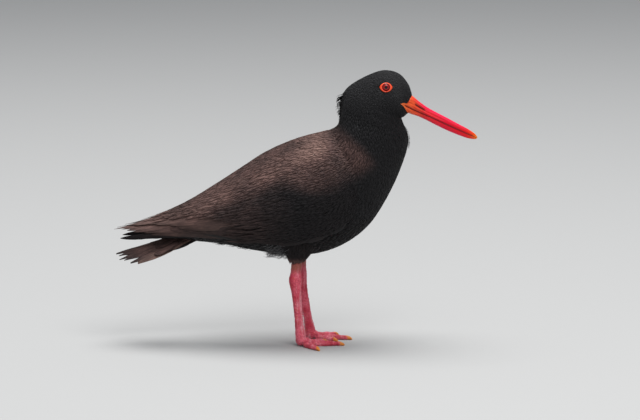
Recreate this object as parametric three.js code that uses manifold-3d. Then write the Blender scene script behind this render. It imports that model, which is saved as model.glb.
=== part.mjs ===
// A life-size standing oystercatcher of an all-black kind, in millimetres, +Z up.
// +X is the way the bird faces, +Y its left side, and the floor is z = 0.
// Flesh is a loft through side-view sections. Feathers are thin vanes laid on the folded wing's
// own surface or fanned from the tail root. Touching pieces keep GAP between their faces.
import * as THREE from "three";
import { mergeVertices } from "three/addons/utils/BufferGeometryUtils.js";
import Module from "manifold-3d";

const wasm = await Module();
wasm.setup();

const GAP = 0.3;
const LEFT = 1;
const RIGHT = -1;
const DEGREE = Math.PI / 180;

// Body sections from tail root to bill root. back and belly are [x, z] in side view, half is the
// half width, and wide lifts (+) or lowers (-) the level of the greatest width.
const BODY = [
  { back: [-141, 132], belly: [-134, 115], half: 12, wide: 0 }, // tail root
  { back: [-115, 149], belly: [-108, 113.5], half: 24, wide: 0 }, // vent
  { back: [-86, 168], belly: [-79, 110], half: 35, wide: 0 }, // rump
  { back: [-57, 186], belly: [-50, 104], half: 43, wide: 0 }, // loin
  { back: [-27, 207], belly: [-18, 99.5], half: 46.5, wide: 0.03 }, // hips
  { back: [3, 224], belly: [16, 100], half: 48, wide: 0.05 }, // mid back
  { back: [27, 233.5], belly: [48.5, 111], half: 47.5, wide: 0.05 }, // shoulders
  { back: [40.5, 240.5], belly: [76.5, 133], half: 45.5, wide: 0.02 }, // mantle
  { back: [43.5, 248], belly: [98.5, 168], half: 41, wide: 0 }, // neck foot
  { back: [42.5, 255], belly: [113.5, 203.5], half: 34, wide: 0 }, // neck
  { back: [41.5, 262.5], belly: [118.5, 226.5], half: 28.5, wide: 0 }, // collar
  { back: [43.5, 272], belly: [112.5, 245.5], half: 23.5, wide: 0 }, // nape
  { back: [53, 283.5], belly: [111, 249.8], half: 21, wide: 0 }, // back of head
  { back: [71.5, 295], belly: [113.5, 251.5], half: 20, wide: 0 }, // crown
  { back: [91.5, 301.8], belly: [115.5, 253.2], half: 19, wide: 0.04 }, // brow
  { back: [108, 298.5], belly: [117, 254.4], half: 14.5, wide: 0.04 }, // forehead
  { back: [118.5, 287], belly: [118.5, 255], half: 8.8, wide: 0 }, // lore
  { back: [123, 274.5], belly: [119.5, 255.8], half: 5.8, wide: 0 }, // bill root
];
const BODY_RINGS = 46;
const BODY_SIDES = 20;

// The outer surface of a folded wing, from the bend at the breast to the tip over the tail. top is
// on the midline, low is the wing's lower edge, and tuck is the turn from top to low, in degrees.
const WING = [
  { top: [53, 233], low: [72, 166], half: 48, tuck: 128 }, // bend
  { top: [40, 236], low: [55, 143], half: 52, tuck: 130 }, // wrist
  { top: [24, 233], low: [33, 128], half: 54, tuck: 130 }, // shoulder
  { top: [-5, 225], low: [2, 120], half: 55, tuck: 130 }, // upper arm
  { top: [-37, 211], low: [-28, 117], half: 53, tuck: 130 }, // elbow
  { top: [-68, 191], low: [-60, 117], half: 47.5, tuck: 127 }, // secondaries
  { top: [-99, 171], low: [-89, 119.5], half: 39, tuck: 122 }, // rump
  { top: [-126, 155], low: [-120, 122], half: 30, tuck: 115 }, // tail root
  { top: [-153, 143], low: [-150, 121.5], half: 23, tuck: 107 }, // long tertials
  { top: [-179, 134.5], low: [-178, 118.5], half: 18, tuck: 104 }, // primaries
  { top: [-202, 129.5], low: [-199, 116.5], half: 14, tuck: 100 }, // tip
];

// Rows of vanes on the wing. from and to are places [along, down], both 0 to 1, of a row's first
// and last tip. length and width are in mm, and lift is how far a tip stands off the wing.
const WING_ROWS = [
  { name: "outer primaries", count: 2, from: [0.93, 1.0], to: [0.985, 0.97], length: 66, width: 9, lift: -1.2 },
  { name: "primaries", count: 4, from: [0.87, 0.86], to: [1.01, 0.22], length: 84, width: 13, lift: -0.6 },
  { name: "secondaries", count: 4, from: [0.5, 0.99], to: [0.75, 0.72], length: 56, width: 17, lift: 0.4 },
  { name: "tertials", count: 4, from: [0.74, 0.6], to: [0.95, 0.2], length: 92, width: 19, lift: 1.2 },
  { name: "greater coverts", count: 5, from: [0.4, 0.96], to: [0.62, 0.52], length: 44, width: 18, lift: 1.1 },
  { name: "median coverts", count: 4, from: [0.28, 0.93], to: [0.46, 0.5], length: 34, width: 19, lift: 1.7 },
  { name: "rear scapulars", count: 3, from: [0.6, 0.46], to: [0.66, 0.12], length: 62, width: 19, lift: 2.2 },
  { name: "middle scapulars", count: 3, from: [0.44, 0.47], to: [0.5, 0.16], length: 48, width: 20, lift: 2.4 },
  { name: "front scapulars", count: 2, from: [0.29, 0.46], to: [0.33, 0.24], length: 40, width: 21, lift: 2.4 },
];

const TAIL = {
  pairs: 6,
  root: [-112, 127], // where the shafts meet
  tip: [-204, 99.5], // tip of the middle pair
  fan: 20, // degrees between the middle and the outermost shaft
  shorter: 23, // how much shorter the outermost is
  drop: [1.3, 2.6], // how far each lies under the one inside it, at root and tip
  width: 14.5,
  core: 44, // length of the fleshy root with its coverts
};

const BILL = {
  // x, culmen z, mouth z, lower edge z, half width
  stations: [
    [106.5, 269.6, 268.4, 267.2, 17],
    [112, 271.4, 265.6, 261.8, 13.6],
    [117.5, 273.2, 262.6, 256, 10],
    [123, 274.2, 259.8, 253.8, 7.3],
    [130, 268.4, 256.6, 251.4, 5.8],
    [139, 261.8, 252.6, 247.2, 4.9],
    [149, 256.2, 248.2, 242, 4.3],
    [161, 250, 242.6, 236.2, 3.7],
    [173.5, 243.2, 236.9, 231, 3.1],
    [184, 237.6, 232.1, 227.4, 2.4],
    [191.5, 232.6, 229, 226.3, 1.7],
    [194.5, 229, 228.1, 227.3, 0.8],
  ],
  rings: 18,
  sides: 10,
};
const NOSTRIL = { x: 130, z: 262.4, length: 10, height: 1.3, depth: 3, slope: -25 };

const EYE = { x: 94, z: 285.3, radius: 6, sunk: 4.9, aperture: 4 };
const LID = { length: 14.2, height: 11, proud: 1.5, depth: 1.6 };

// Each leg from the flank down. Rings are [x, y from the midline, z, half length, half breadth].
const LEGS = {
  right: {
    side: RIGHT,
    thigh: [
      [2, 19, 128, 21, 13],
      [0, 20, 110, 17, 11.5],
      [-2.5, 20.5, 96, 11, 9],
      [-3.5, 21, 89.5, 8, 7],
    ],
    shank: [
      [-3.7, 21, 91, 6, 5],
      [-4.2, 21, 84, 6.1, 5],
      [-5, 21.2, 77.5, 7, 6.1],
      [-5.2, 21.4, 71, 7.2, 6.4],
      [-4.6, 21.5, 64, 6.4, 5.4],
    ],
    tarsus: [
      [-4.5, 21.5, 65, 6.1, 5.2],
      [-3.4, 21.8, 54, 5.3, 4.1],
      [-2, 22, 38, 5, 3.8],
      [-0.6, 22.2, 23, 5.1, 4],
      [0.6, 22.4, 13, 6, 5.2],
      [1.4, 22.4, 6, 6.6, 6.4],
      [1.6, 22.4, 0.2, 6, 6],
    ],
    pad: [2.2, 22.4],
    toes: { inner: [38, 36], middle: [2, 47], outer: [-60, 39] },
  },
  left: {
    side: LEFT,
    thigh: [
      [6, 19, 128, 21, 13],
      [4.5, 20, 110, 17, 11.5],
      [2.5, 20.5, 96, 11, 9],
      [1.5, 21, 89.5, 8, 7],
    ],
    shank: [
      [1.3, 21, 91, 6, 5],
      [0.9, 21, 84, 6.1, 5],
      [0.4, 21.2, 77.5, 7, 6.1],
      [0.4, 21.4, 71, 7.2, 6.4],
      [1.4, 21.5, 64, 6.4, 5.4],
    ],
    tarsus: [
      [1.4, 21.5, 65, 6.1, 5.2],
      [3.2, 21.8, 54, 5.3, 4.1],
      [6, 22, 38, 5, 3.8],
      [8.6, 22.2, 23, 5.1, 4],
      [10.4, 22.4, 13, 6, 5.2],
      [11.4, 22.4, 6, 6.6, 6.4],
      [11.6, 22.4, 0.2, 6, 6],
    ],
    pad: [12.2, 22.4],
    toes: { inner: [34, 36], middle: [8, 46], outer: [-36, 38] },
  },
};
const TOE = { root: 4.8, middle: 3.9, tip: 3.2, rootHeight: 7, claw: 6.5, sides: 8, rings: 8 };

const COLOURS = {
  plumage: { color: 0x17171a, roughness: 0.85 },
  wing: { color: 0x3a2a25, roughness: 0.75 },
  bill: { color: 0xe8321c, roughness: 0.35 },
  iris: { color: 0xa80f0c, roughness: 0.1 },
  lid: { color: 0xf4511e, roughness: 0.5 },
  leg: { color: 0xc94a66, roughness: 0.6 },
  claw: { color: 0xd98a3c, roughness: 0.4 },
};

// Value at t, 0 to 1, of a smooth curve through evenly spaced numbers.
function smooth(values, t) {
  const last = values.length - 1;
  const span = Math.min(Math.max(Math.floor(t * last), 0), last - 1);
  const f = t * last - span;
  const b = values[span];
  const c = values[span + 1];
  const a = span > 0 ? values[span - 1] : 2 * b - c;
  const d = span < last - 1 ? values[span + 2] : 2 * c - b;
  return b + 0.5 * f * (c - a + f * (2 * a - 5 * b + 4 * c - d + f * (3 * (b - c) + d - a)));
}

function blend(a, b, share) {
  return a + (b - a) * share;
}

function ease(low, high, value) {
  return THREE.MathUtils.smoothstep(value, low, high);
}

// A closed geometry as a manifold solid, with its shared corners merged.
function solid(geometry) {
  const bare = new THREE.BufferGeometry()
    .setAttribute("position", geometry.getAttribute("position"))
    .setIndex(geometry.getIndex());
  const merged = mergeVertices(bare, 1e-4);
  const mesh = new wasm.Mesh({
    numProp: 3,
    vertProperties: merged.attributes.position.array,
    triVerts: new Uint32Array(merged.index.array),
  });
  return new wasm.Manifold(mesh);
}

function geometryOf(points, faces) {
  return new THREE.BufferGeometry()
    .setAttribute("position", new THREE.Float32BufferAttribute(points.flatMap((p) => p.toArray()), 3))
    .setIndex(faces.flat());
}

// A closed skin through rings of points, with a fan to the centre at both ends.
function loft(rings) {
  const sides = rings[0].length;
  const points = rings.flat();
  const faces = [];
  for (let i = 0; i < rings.length - 1; i++)
    for (let j = 0; j < sides; j++) {
      const k = (j + 1) % sides;
      const [a, b, c, d] = [i * sides + j, i * sides + k, (i + 1) * sides + j, (i + 1) * sides + k];
      faces.push([a, b, d], [a, d, c]);
    }
  const ends = [rings[0], rings.at(-1)];
  ends.forEach((ring, end) => {
    const centre = ring.reduce((sum, p) => sum.add(p), new THREE.Vector3()).divideScalar(sides);
    const start = end ? (rings.length - 1) * sides : 0;
    for (let j = 0; j < sides; j++) {
      const k = (j + 1) % sides;
      faces.push(end ? [start + j, start + k, points.length] : [start + k, start + j, points.length]);
    }
    points.push(centre);
  });
  const made = solid(geometryOf(points, faces));
  return made.volume() < 0 ? solid(geometryOf(points, faces.map(([a, b, c]) => [a, c, b]))) : made;
}

// A closed sheet between two grids of points that are split into triangles alike.
function sheet(outer, inner) {
  const rows = outer.length;
  const columns = outer[0].length;
  const points = [...outer.flat(), ...inner.flat()];
  const under = rows * columns;
  const faces = [];
  for (let i = 0; i < rows - 1; i++)
    for (let j = 0; j < columns - 1; j++) {
      const a = i * columns + j;
      const [b, c, d] = [a + 1, a + columns, a + columns + 1];
      faces.push([a, b, d], [a, d, c], [under + a, under + d, under + b], [under + a, under + c, under + d]);
    }
  const wall = (a, b) => faces.push([a, under + a, under + b], [a, under + b, b]);
  for (let j = 0; j < columns - 1; j++) {
    wall(j, j + 1);
    wall((rows - 1) * columns + j + 1, (rows - 1) * columns + j);
  }
  for (let i = 0; i < rows - 1; i++) {
    wall((i + 1) * columns, i * columns);
    wall(i * columns + columns - 1, (i + 1) * columns + columns - 1);
  }
  const made = solid(geometryOf(points, faces));
  return made.volume() < 0 ? solid(geometryOf(points, faces.map(([a, b, c]) => [a, c, b]))) : made;
}

function joined(pieces) {
  return pieces.reduce((sum, piece) => sum.add(piece));
}

function largest(made) {
  const bodies = made.decompose().sort((a, b) => b.volume() - a.volume());
  return bodies[0];
}

// A ball stretched to three half sizes, turned about y and moved.
function ball(x, y, z, halfX, halfY, halfZ, turn = 0) {
  const geometry = new THREE.SphereGeometry(1, 16, 10);
  geometry.scale(halfX, halfY, halfZ).rotateY(-turn * DEGREE).translate(x, y, z);
  return solid(geometry);
}

// A section's place at t, from the two side-view edges of a table of sections.
function edges(table, first, second, t) {
  const read = (key, axis) => smooth(table.map((row) => row[key][axis]), t);
  return [read(first, 0), read(first, 1), read(second, 0), read(second, 1)];
}

// A point on the body at t from tail root to bill root. turn runs round the section from the back
// (0) by the left flank. The section is an ellipse between back and belly, wider at its wide level.
function bodyPoint(t, turn, grow = 0) {
  const [backX, backZ, bellyX, bellyZ] = edges(BODY, "back", "belly", t);
  const half = smooth(BODY.map((row) => row.half), t);
  const wide = smooth(BODY.map((row) => row.wide), t);
  const [riseX, riseZ] = [(backX - bellyX) / 2, (backZ - bellyZ) / 2];
  const rise = Math.hypot(riseX, riseZ);
  const [up, out] = [Math.cos(turn), Math.sin(turn)];
  const length = Math.hypot(up / rise, out / half);
  const push = 1 + ((grow / length) * up) / rise / rise / (up || 1);
  const ends = grow * (ease(0.999, 1, t) + ease(0, 0.001, t) - 1);
  return new THREE.Vector3(
    (backX + bellyX) / 2 + riseX * up * push + ends,
    half * out * (1 + wide * up) + ((grow / length) * out) / half,
    (backZ + bellyZ) / 2 + riseZ * up * push,
  );
}

function body(grow = 0) {
  const rings = [];
  for (let i = 0; i < BODY_RINGS; i++) {
    const ring = [];
    for (let j = 0; j < BODY_SIDES; j++)
      ring.push(bodyPoint(i / (BODY_RINGS - 1), ((j + 0.5) * 2 * Math.PI) / BODY_SIDES, grow));
    rings.push(ring);
  }
  return loft(rings);
}

// Half width of the body where a side view shows it at x, z. The section through that place is
// found by halving the span of t between two sections.
function bodySide(x, z, low, high) {
  const side = (t) => {
    const [backX, backZ, bellyX, bellyZ] = edges(BODY, "back", "belly", t);
    return (x - bellyX) * (backZ - bellyZ) - (z - bellyZ) * (backX - bellyX);
  };
  let [a, b] = [low, high];
  for (let i = 0; i < 30; i++) {
    const middle = (a + b) / 2;
    if (side(middle) > 0) a = middle;
    else b = middle;
  }
  const [, backZ, , bellyZ] = edges(BODY, "back", "belly", a);
  const up = (2 * (z - bellyZ)) / (backZ - bellyZ) - 1;
  return bodyPoint(a, Math.acos(up)).y;
}

// A point on the wing's outer surface, along 0 to 1 from bend to tip and down 0 to 1 from the
// midline to the lower edge, lifted off it by out. The section is an arc of an ellipse.
function wingPoint(along, down, out = 0) {
  const [topX, topZ, lowX, lowZ] = edges(WING, "top", "low", along);
  const half = smooth(WING.map((row) => row.half), along);
  const tuck = smooth(WING.map((row) => row.tuck), along) * DEGREE;
  const [riseX, riseZ] = [(topX - lowX) / (1 - Math.cos(tuck)), (topZ - lowZ) / (1 - Math.cos(tuck))];
  const rise = Math.hypot(riseX, riseZ);
  const turn = down * tuck;
  const [up, side] = [Math.cos(turn), Math.sin(turn)];
  const length = Math.hypot(up / rise, side / half);
  const high = up - 1 + ((out / length) * up) / rise / rise;
  return new THREE.Vector3(
    topX + riseX * high,
    half * side + ((out / length) * side) / half,
    topZ + riseZ * high,
  );
}

// Length of the wing's section from midline to lower edge.
function wingGirth(along) {
  let girth = 0;
  for (let i = 0; i < 12; i++)
    girth += wingPoint(along, i / 12).distanceTo(wingPoint(along, (i + 1) / 12));
  return girth;
}

const WING_LENGTH = Math.abs(WING.at(-1).top[0] - WING[0].top[0]);

// How wide a feather is at a share of its length, as a share of its full width.
function featherWidth(share) {
  const swell = 0.55 + 0.45 * ease(0, 0.45, share);
  return swell * Math.sqrt(Math.max(1 - ((share - 0.55) / 0.46) ** 2, 0.03) * (share > 0.55) + (share <= 0.55));
}

// A vane laid along the wing. Its root is sunk in the wing and its tip stands off by lift.
function wingVane(tip, length, width, lift, sink, steps) {
  const start = Math.max(tip[0] - length / WING_LENGTH, 0.02);
  const [outer, inner] = [[], []];
  for (let i = 0; i <= steps; i++) {
    const share = i / steps;
    const along = blend(start, tip[0], share);
    const spread = (width / 2 / wingGirth(along)) * featherWidth(share);
    const height = blend(-sink, lift, ease(0, 0.75, share));
    const thick = blend(1.3, 0.7, share);
    const rows = [[], []];
    for (const across of [-1, 0, 1]) {
      const down = Math.min(Math.max(tip[1] + across * spread, 0.012), 1.03);
      const camber = [-1.0, 0.1, 0.15][across + 1];
      rows[0].push(wingPoint(along, down, height + camber));
      rows[1].push(wingPoint(along, down, height + camber - (across ? 0.6 * thick : thick)));
    }
    outer.push(rows[0]);
    inner.push(rows[1]);
  }
  return sheet(outer, inner);
}

// The wing's flesh and small coverts: a slab under its outer surface, cut clear of the body.
function wingCore() {
  const [rows, columns] = [14, 6];
  const [outer, inner] = [[], []];
  for (let i = 0; i <= rows; i++) {
    const along = blend(0.01, 0.9, i / rows);
    const top = blend(0.24, 0.02, ease(0.15, 0.55, along));
    const low = blend(1, 0.9, ease(0.7, 0.9, along));
    const depth = blend(15, 3.2, ease(0.5, 0.78, along));
    const rowOut = [];
    const rowIn = [];
    for (let j = 0; j <= columns; j++) {
      const down = blend(top, low, j / columns);
      rowOut.push(wingPoint(along, down, -1));
      rowIn.push(wingPoint(along, down, -1 - depth * blend(1, 0.7, ease(0.85, 1, down))));
    }
    outer.push(rowOut);
    inner.push(rowIn);
  }
  return sheet(outer, inner);
}

function wing(bodyGrown) {
  const vanes = WING_ROWS.flatMap(({ count, from, to, length, width, lift }) =>
    Array.from({ length: count }, (_, i) => {
      const share = i / (count - 1);
      const tip = [blend(from[0], to[0], share), blend(from[1], to[1], share)];
      return wingVane(tip, length, width, lift, 3.4, length > 50 ? 4 : 3);
    }),
  );
  return largest(joined([wingCore(), ...vanes]).subtract(bodyGrown));
}

// One tail feather, counted outwards from the midline: straight, arched across, and a little lower
// than the one inside it.
function tailVane(index, side) {
  const share = (index + 0.5) / TAIL.pairs;
  const turn = TAIL.fan * share * DEGREE * side;
  const [rootX, rootZ] = TAIL.root;
  const full = rootX - TAIL.tip[0] - TAIL.shorter * share ** 2;
  const slope = (rootZ - TAIL.tip[1]) / (rootX - TAIL.tip[0]);
  const [outer, inner] = [[], []];
  const steps = 6;
  for (let i = 0; i <= steps; i++) {
    const reach = full * (i / steps);
    const spread = (TAIL.width / 2) * featherWidth(i / steps) * blend(0.45, 1, ease(0, 0.5, i / steps));
    const rows = [[], []];
    for (const across of [-1, 0, 1]) {
      const y = reach * Math.sin(turn) + side * (0.8 + index * 1.1) + across * spread;
      const z = rootZ - slope * reach - index * blend(...TAIL.drop, i / steps) - (across ? 0.35 : 0);
      const x = rootX - reach * Math.cos(turn);
      rows[0].push(new THREE.Vector3(x, y, z));
      rows[1].push(new THREE.Vector3(x, y, z - (across ? 0.5 : 0.95)));
    }
    outer.push(rows[0]);
    inner.push(rows[1]);
  }
  return sheet(outer, inner);
}

// The tail's root with its coverts: a flat cone from the body's end.
function tailCore() {
  const rings = [];
  const [steps, sides] = [5, 14];
  const slope = (TAIL.root[1] - TAIL.tip[1]) / (TAIL.root[0] - TAIL.tip[0]);
  for (let i = 0; i <= steps; i++) {
    const share = i / steps;
    const x = TAIL.root[0] - 8 - TAIL.core * share;
    const z = TAIL.root[1] - 2 + slope * (x - TAIL.root[0]) - 1.5;
    const [high, broad] = [blend(11, 1.6, share ** 0.8), blend(17, 14, share)];
    const ring = [];
    for (let j = 0; j < sides; j++) {
      const turn = ((j + 0.5) * 2 * Math.PI) / sides;
      ring.push(new THREE.Vector3(x, broad * Math.sin(turn), z + high * Math.cos(turn)));
    }
    rings.push(ring);
  }
  return loft(rings);
}

function tail(bodyGrown) {
  const vanes = [];
  for (let i = 0; i < TAIL.pairs; i++) vanes.push(tailVane(i, LEFT), tailVane(i, RIGHT));
  return largest(joined([tailCore(), ...vanes]).subtract(bodyGrown));
}

// A mandible: an ellipse in section from the mouth line to the culmen, or down to the lower edge.
// grow fattens it for cutting its seat in the head.
function mandible(upper, grow = 0) {
  const column = (k) => BILL.stations.map((row) => row[k]);
  const rings = [];
  for (let i = 0; i < BILL.rings; i++) {
    const t = (i / (BILL.rings - 1)) ** 0.9;
    const [x, top, mouth, low, half] = [0, 1, 2, 3, 4].map((k) => smooth(column(k), t));
    const seat = upper ? mouth + GAP / 2 : mouth - GAP / 2;
    const tall = Math.max(upper ? top - seat : seat - low, 0.35) + grow;
    const boxy = blend(0.45, 0.85, ease(0.1, 0.4, t));
    const ring = [];
    for (let j = 0; j < BILL.sides; j++) {
      const turn = ((j + 0.5) * 2 * Math.PI) / BILL.sides;
      const [up, out] = [Math.cos(turn), Math.sin(turn)];
      const y = (half + grow) * Math.sign(out) * Math.abs(out) ** boxy;
      const rise = up > 0 ? tall * up ** blend(0.7, 1, ease(0, 0.3, t)) : (0.02 + grow) * up;
      ring.push(new THREE.Vector3(x, y, upper ? seat + rise : seat - rise));
    }
    rings.push(ring);
  }
  if (grow) rings.unshift(rings[0].map((p) => new THREE.Vector3(p.x - grow, p.y, p.z)));
  return loft(rings);
}

function nostrils() {
  const { x, z, length, height, depth, slope } = NOSTRIL;
  const half = smooth(BILL.stations.map((row) => row[4]), 0.36);
  return [LEFT, RIGHT].map((side) => ball(x, side * (half + 0.4), z, length / 2, depth, height / 2, -slope));
}

function eyeCentre(side) {
  const t = [12 / 17, 15 / 17];
  return new THREE.Vector3(EYE.x, side * (bodySide(EYE.x, EYE.z, ...t) - EYE.sunk), EYE.z);
}

function eyeball(side, grow = 0) {
  const { x, y, z } = eyeCentre(side);
  const radius = EYE.radius + grow;
  return ball(x, y, z, radius, radius, radius);
}

// The bare lid: an almond disc on the face with a round opening for the eye.
function lid(side, grow = 0) {
  const { x, y, z } = eyeCentre(side);
  const face = y + side * (EYE.sunk - LID.depth / 2);
  const halfY = LID.proud + LID.depth / 2 + grow;
  return ball(x, face, z, LID.length / 2 + grow, halfY, LID.height / 2 + grow);
}

function lidRing(side) {
  const { x, y, z } = eyeCentre(side);
  const opening = new THREE.CylinderGeometry(EYE.aperture, EYE.aperture, 20, 16);
  opening.translate(x, y + side * 10, z);
  return largest(lid(side).subtract(eyeball(side, GAP)).subtract(solid(opening)));
}

// A length of leg: an ellipse in plan carried down a list of rings.
function legPiece(rings, side, steps, grow = 0) {
  const column = (k) => rings.map((row) => row[k]);
  const made = [];
  const sides = 10;
  for (let i = 0; i <= steps; i++) {
    const [x, y, z, long, broad] = [0, 1, 2, 3, 4].map((k) => smooth(column(k), i / steps));
    const ring = [];
    for (let j = 0; j < sides; j++) {
      const turn = ((j + 0.5) * 2 * Math.PI) / sides;
      const [px, py] = [x + (long + grow) * Math.cos(turn), side * y + (broad + grow) * Math.sin(turn)];
      const end = i === 0 ? grow : i === steps ? -grow : 0;
      ring.push(new THREE.Vector3(px, py, Math.max(z + end, 0)));
    }
    made.push(ring);
  }
  return loft(made);
}

// A toe: a tube that comes down from the foot and lies flat on the floor, with a pad to each joint.
function toe(leg, [bearing, reach], grow = 0) {
  const heading = bearing * DEGREE * -leg.side;
  const flat = reach - TOE.claw;
  const rings = [];
  for (let i = 0; i < TOE.rings; i++) {
    const share = i / (TOE.rings - 1);
    const thick = smooth([TOE.root, TOE.middle, TOE.middle, TOE.tip, TOE.tip * 0.72], share);
    const pads = 1 + 0.07 * Math.cos(share * 3 * 2 * Math.PI);
    const radius = thick * pads + grow;
    const height = blend(TOE.rootHeight, 2.6, ease(0, 0.42, share)) * blend(1, 0.9, share);
    const ring = [];
    for (let j = 0; j < TOE.sides; j++) {
      const turn = ((j + 0.5) * 2 * Math.PI) / TOE.sides;
      const across = radius * Math.sin(turn);
      const run = flat * share;
      ring.push(
        new THREE.Vector3(
          leg.pad[0] + run * Math.cos(heading) - across * Math.sin(heading),
          leg.side * leg.pad[1] + run * Math.sin(heading) + across * Math.cos(heading),
          Math.max(height + radius * Math.cos(turn), 0),
        ),
      );
    }
    rings.push(ring);
  }
  return loft(rings);
}

// A claw: a short blunt cone that carries on from the toe's end and bends down to the floor.
function claw(leg, [bearing, reach]) {
  const heading = bearing * DEGREE * -leg.side;
  const start = reach - TOE.claw + GAP;
  const rings = [];
  const [steps, sides] = [3, 6];
  for (let i = 0; i <= steps; i++) {
    const share = i / steps;
    const run = start + (TOE.claw - GAP) * share;
    const radius = TOE.tip * 0.7 * Math.sqrt(1.03 - share ** 2);
    const ring = [];
    for (let j = 0; j < sides; j++) {
      const turn = ((j + 0.5) * 2 * Math.PI) / sides;
      const across = 0.8 * radius * Math.sin(turn);
      const z = blend(2.5, 0.9, share ** 2) + radius * Math.cos(turn);
      ring.push(
        new THREE.Vector3(
          leg.pad[0] + run * Math.cos(heading) - across * Math.sin(heading),
          leg.side * leg.pad[1] + run * Math.sin(heading) + across * Math.cos(heading),
          Math.max(z, 0),
        ),
      );
    }
    rings.push(ring);
  }
  return loft(rings);
}

// Parts the body with thin flat cuts. Each cut goes through a section's back and belly points.
function partBody(whole, places) {
  const cuts = places.map((t) => {
    const [backX, backZ, bellyX, bellyZ] = edges(BODY, "back", "belly", t);
    const slab = new THREE.BoxGeometry(400, 200, GAP);
    slab.rotateY(Math.atan2(bellyZ - backZ, backX - bellyX));
    slab.translate((backX + bellyX) / 2, 0, (backZ + bellyZ) / 2);
    return solid(slab);
  });
  return whole.subtract(joined(cuts)).decompose();
}

function mesh(name, made, finish) {
  const { vertProperties, triVerts } = made.getMesh();
  const geometry = new THREE.BufferGeometry()
    .setAttribute("position", new THREE.BufferAttribute(new Float32Array(vertProperties), 3))
    .setIndex(new THREE.BufferAttribute(new Uint32Array(triVerts), 1));
  geometry.computeVertexNormals();
  const piece = new THREE.Mesh(geometry, new THREE.MeshStandardMaterial(finish));
  piece.name = name;
  return piece;
}

const bird = new THREE.Group();
const bodyGrown = body(GAP);

function addBodyAndHead() {
  const seats = joined([
    mandible(true, 2 * GAP),
    mandible(false, 2 * GAP),
    ...[LEFT, RIGHT].flatMap((side) => [lid(side, GAP), eyeball(side, GAP)]),
  ]);
  const pieces = partBody(body().subtract(seats), [8.35 / 17, 11.2 / 17]);
  const byHeight = pieces
    .filter((piece) => piece.volume() > 1000)
    .sort((a, b) => a.boundingBox().max[2] - b.boundingBox().max[2]);
  ["torso", "neck", "head"].forEach((name, i) => bird.add(mesh(name, byHeight[i], COLOURS.plumage)));
}

function addFace() {
  const upper = mandible(true).subtract(joined(nostrils()));
  bird.add(mesh("bill_upper", largest(upper), COLOURS.bill));
  bird.add(mesh("bill_lower", mandible(false), COLOURS.bill));
  for (const [name, side] of [["left", LEFT], ["right", RIGHT]]) {
    bird.add(mesh("eye_" + name, eyeball(side), COLOURS.iris));
    bird.add(mesh("eyelid_" + name, lidRing(side), COLOURS.lid));
  }
}

function addWingsAndTail() {
  const left = wing(bodyGrown);
  bird.add(mesh("wing_left", left, COLOURS.wing));
  bird.add(mesh("wing_right", left.mirror([0, 1, 0]), COLOURS.wing));
  bird.add(mesh("tail", tail(bodyGrown), COLOURS.wing));
}

function addLeg(name, leg) {
  const thigh = legPiece(leg.thigh, leg.side, 5).subtract(bodyGrown);
  const thighGrown = legPiece(leg.thigh, leg.side, 5, GAP);
  const shank = legPiece(leg.shank, leg.side, 7).subtract(thighGrown);
  const shankGrown = legPiece(leg.shank, leg.side, 7, GAP);
  const tarsus = legPiece(leg.tarsus, leg.side, 9).subtract(shankGrown);
  let taken = legPiece(leg.tarsus, leg.side, 9, GAP);
  bird.add(mesh("thigh_" + name, largest(thigh), COLOURS.plumage));
  bird.add(mesh("shank_" + name, largest(shank), COLOURS.leg));
  bird.add(mesh("tarsus_" + name, largest(tarsus), COLOURS.leg));
  for (const place of ["middle", "inner", "outer"]) {
    const made = largest(toe(leg, leg.toes[place]).subtract(taken));
    bird.add(mesh("toe_" + place + "_" + name, made, COLOURS.leg));
    bird.add(mesh("claw_" + place + "_" + name, claw(leg, leg.toes[place]), COLOURS.claw));
    taken = taken.add(toe(leg, leg.toes[place], GAP));
  }
}

addBodyAndHead();
addFace();
addWingsAndTail();
addLeg("right", LEGS.right);
addLeg("left", LEGS.left);

// The origin is on the floor, under the middle of the bird's bounding box.
const oystercatcher = new THREE.Group();
oystercatcher.add(bird);
const bounds = new THREE.Box3().setFromObject(bird);
const middle = bounds.getCenter(new THREE.Vector3());
bird.position.set(-middle.x, -middle.y, -bounds.min.z);

export default oystercatcher;
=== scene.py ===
"""A life-size standing oystercatcher of an all-black kind, feathered, on a pale studio floor.

Shapes are worked out in millimetres: +X is the way the bird faces, +Y its left side, z = 0 the floor.
Feathered parts are surfaces of two shares: u runs along the lie of the feathers, v across it.
"""
import math

import bpy
import numpy as np
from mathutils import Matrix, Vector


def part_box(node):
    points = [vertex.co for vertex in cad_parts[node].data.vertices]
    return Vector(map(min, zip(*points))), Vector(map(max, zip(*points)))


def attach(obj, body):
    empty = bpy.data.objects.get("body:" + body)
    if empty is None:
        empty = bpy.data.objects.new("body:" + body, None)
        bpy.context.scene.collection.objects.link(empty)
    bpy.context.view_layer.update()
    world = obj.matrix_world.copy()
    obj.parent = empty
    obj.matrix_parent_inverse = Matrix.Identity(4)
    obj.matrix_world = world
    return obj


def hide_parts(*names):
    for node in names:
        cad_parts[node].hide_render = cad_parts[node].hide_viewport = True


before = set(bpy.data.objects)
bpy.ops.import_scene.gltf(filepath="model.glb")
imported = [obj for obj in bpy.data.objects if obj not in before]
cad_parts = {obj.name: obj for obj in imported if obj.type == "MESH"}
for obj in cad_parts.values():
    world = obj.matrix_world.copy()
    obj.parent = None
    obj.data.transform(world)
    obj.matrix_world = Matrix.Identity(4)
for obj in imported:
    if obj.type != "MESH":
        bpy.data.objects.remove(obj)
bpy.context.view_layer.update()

MM = 0.001
SIDES = {"left": 1, "right": -1}

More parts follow.
